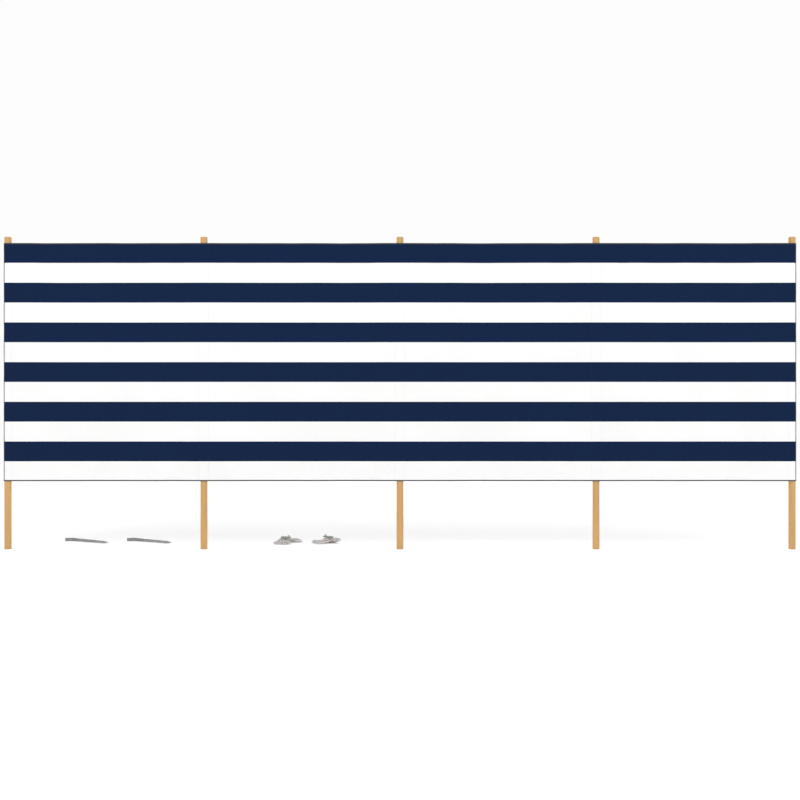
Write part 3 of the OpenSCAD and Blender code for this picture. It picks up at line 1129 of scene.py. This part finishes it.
class WindbreakCloth(bpy.types.PropertyGroup):
    """The striped canvas and the way that it hangs."""

    thickness: size("Thickness", "The canvas's thickness", 0.0009)
    tuck: size("Tuck", "How far the canvas's edge lies inside its tape", 0.002)
    cell: size("Cell", "The height of the cloth's rows of faces", 0.009)
    billow: size("Billow", "How far back a bay hangs at its middle", 0.008)
    folds: size("Folds", "The depth of the upright folds", 0.0026)
    creases: size("Creases", "The depth of the creases that fan from the corners", 0.0020)
    ripple: size("Ripple", "The depth of the uneven ripple", 0.0040)
    pucker: size("Pucker", "How far a pocket stands off its pole", 0.0009)
    weave: size("Weave", "The weave's repeat", 0.0018)
    seed: count("Seed", "The number that varies the bays", 3)
    navy: tint("Navy", "The dark stripes", (0.0046, 0.0150, 0.0505))
    white: tint("White", "The light stripes", (0.835, 0.835, 0.83))


class WindbreakBinding(bpy.types.PropertyGroup):
    """The tape that binds the cloth's edges."""

    thickness: size("Thickness", "The folded tape's thickness", 0.0022)
    end_turn: angle("End Turn", "How far round the pole the end tape reaches each way", 47)
    colour: tint("Tape Colour", "The tape's colour", (0.055, 0.055, 0.057))


class WindbreakStitches(bpy.types.PropertyGroup):
    """The stitches down the pockets and along the tape."""

    spacing: size("Spacing", "The distance between stitches", 0.005)
    length: size("Length", "A stitch's length", 0.0034)
    width: size("Width", "A stitch's thickness", 0.0008)
    seed: count("Seed", "The number that varies the stitches", 7)
    navy: tint("Navy Thread", "The thread in navy cloth", (0.012, 0.022, 0.06))
    white: tint("White Thread", "The thread in white cloth", (0.70, 0.70, 0.69))
    tape: tint("Tape Thread", "The thread in the tape", (0.11, 0.11, 0.113))


class WindbreakWood(bpy.types.PropertyGroup):
    """The poles' wood."""

    rings_per_metre: number("Rings", "Growth rings in a metre", 420)
    light: tint("Early Wood", "The wood between the rings", (0.57, 0.335, 0.125))
    dark: tint("Late Wood", "The wood's rings", (0.44, 0.235, 0.082))


class WindbreakPegs(bpy.types.PropertyGroup):
    """The steel pegs."""

    shaft: size("Shaft", "The shaft's length from the bend", 0.262)
    hook: size("Hook", "The hook's length", 0.032)
    bend: angle("Bend", "The hook's bend", 52)
    turn: angle("Turn", "How the pegs lie on the ground", -30)
    wall: size("Wall", "The steel's thickness", 0.0018)
    rib: size("Rib", "The depth of the pressed ribs", 0.0016)
    rib_pitch: size("Rib Pitch", "The distance between ribs", 0.008)
    colour: tint("Steel Colour", "The zinc's colour", (0.50, 0.51, 0.52))


# ---- Operators, in the order that they run ----


class WINDBREAK_OT_stage(bpy.types.Operator):
    """Set up the camera, the floor and the light"""

    bl_idname = "windbreak.stage"
    bl_label = "Stage"

    def execute(self, context):
        build_stage(context.scene.windbreak_stage)
        return {"FINISHED"}


class WINDBREAK_OT_ropes(bpy.types.Operator):
    """Coil both guy ropes and finish their sliders"""

    bl_idname = "windbreak.ropes"
    bl_label = "Guy Ropes"

    def execute(self, context):
        ropes = context.scene.windbreak_ropes
        rope = rope_finish("braided_rope", ropes.colour, ropes)
        twine = rope_finish("brown_twine", ropes.twine_colour, ropes)
        plastic = plastic_finish(ropes)
        for i in (1, 2):
            length = build_rope(i, ropes, rope, twine)
            self.report({"INFO"}, f"rope {i} is {length:.3f} m long")
            paint_node(f"rope_runner_{i}", plastic)
        return {"FINISHED"}


class WINDBREAK_OT_binding(bpy.types.Operator):
    """Bind the cloth's edges with tape"""

    bl_idname = "windbreak.binding"
    bl_label = "Edge Tape"

    def execute(self, context):
        scene = context.scene
        finish = tape_finish(scene.windbreak_binding)
        for bay in BAYS:
            build_tape(bay, scene.windbreak_binding, scene.windbreak_cloth, finish)
        return {"FINISHED"}


class WINDBREAK_OT_stitches(bpy.types.Operator):
    """Sew the seams of the pockets and the tape"""

    bl_idname = "windbreak.stitches"
    bl_label = "Stitches"

    def execute(self, context):
        scene = context.scene
        stitches, cloth = scene.windbreak_stitches, scene.windbreak_cloth
        tree = stitch_tree()
        thread = thread_finish("seam_thread", stitches.navy, stitches.white)
        tape_thread = thread_finish("tape_thread", stitches.tape, stitches.tape)
        for i in POLES:
            seam_stitches(i, stitches, cloth, tree, thread)
        for bay in BAYS:
            tape_stitches(bay, stitches, scene.windbreak_binding, cloth, tree, tape_thread)
        return {"FINISHED"}


class WINDBREAK_OT_cloth(bpy.types.Operator):
    """Hang the four bays of striped canvas and the pockets, which the tape and seams are sewn to"""

    bl_idname = "windbreak.cloth"
    bl_label = "Cloth and Pockets"

    def execute(self, context):
        cloth = context.scene.windbreak_cloth
        canvas = canvas_finish(cloth)
        for bay in BAYS:
            build_bay(bay, cloth, canvas)
        for i in POLES:
            build_pocket(i, cloth, canvas)
        return {"FINISHED"}


class WINDBREAK_OT_poles(bpy.types.Operator):
    """Finish the five poles in wood"""

    bl_idname = "windbreak.poles"
    bl_label = "Poles"

    def execute(self, context):
        for i in POLES:
            paint_node(f"pole_{i}", wood_finish(i, context.scene.windbreak_wood))
        return {"FINISHED"}


class WINDBREAK_OT_pegs(bpy.types.Operator):
    """Press both pegs from steel"""

    bl_idname = "windbreak.pegs"
    bl_label = "Pegs"

    def execute(self, context):
        pegs = context.scene.windbreak_pegs
        steel = steel_finish(pegs)
        for i in (1, 2):
            build_peg(i, pegs, steel)
        return {"FINISHED"}


OPERATORS = (
    WINDBREAK_OT_stage,
    WINDBREAK_OT_ropes,
    WINDBREAK_OT_binding,
    WINDBREAK_OT_stitches,
    WINDBREAK_OT_cloth,
    WINDBREAK_OT_poles,
    WINDBREAK_OT_pegs,
)


class WINDBREAK_PT_panel(bpy.types.Panel):
    """Lists the steps that build the windbreak"""

    bl_idname = "WINDBREAK_PT_panel"
    bl_label = "Beach Windbreak"
    bl_space_type = "VIEW_3D"
    bl_region_type = "UI"
    bl_category = "Windbreak"

    def draw(self, context):
        for operator in OPERATORS:
            self.layout.operator(operator.bl_idname)


SETTINGS = {
    "windbreak_stage": WindbreakStage,
    "windbreak_ropes": WindbreakRopes,
    "windbreak_cloth": WindbreakCloth,
    "windbreak_binding": WindbreakBinding,
    "windbreak_stitches": WindbreakStitches,
    "windbreak_wood": WindbreakWood,
    "windbreak_pegs": WindbreakPegs,
}


def register():
    for name, group in SETTINGS.items():
        bpy.utils.register_class(group)
        setattr(bpy.types.Scene, name, PointerProperty(type=group))
    for operator in (*OPERATORS, WINDBREAK_PT_panel):
        bpy.utils.register_class(operator)


def unregister():
    for operator in reversed((*OPERATORS, WINDBREAK_PT_panel)):
        bpy.utils.unregister_class(operator)
    for name, group in reversed(SETTINGS.items()):
        delattr(bpy.types.Scene, name)
        bpy.utils.unregister_class(group)


def main():
    register()
    bpy.ops.windbreak.stage()
    bpy.ops.windbreak.ropes()
    bpy.ops.windbreak.binding()
    bpy.ops.windbreak.stitches()
    bpy.ops.windbreak.cloth()
    bpy.ops.windbreak.poles()
    bpy.ops.windbreak.pegs()


if __name__ == "__main__":
    main()
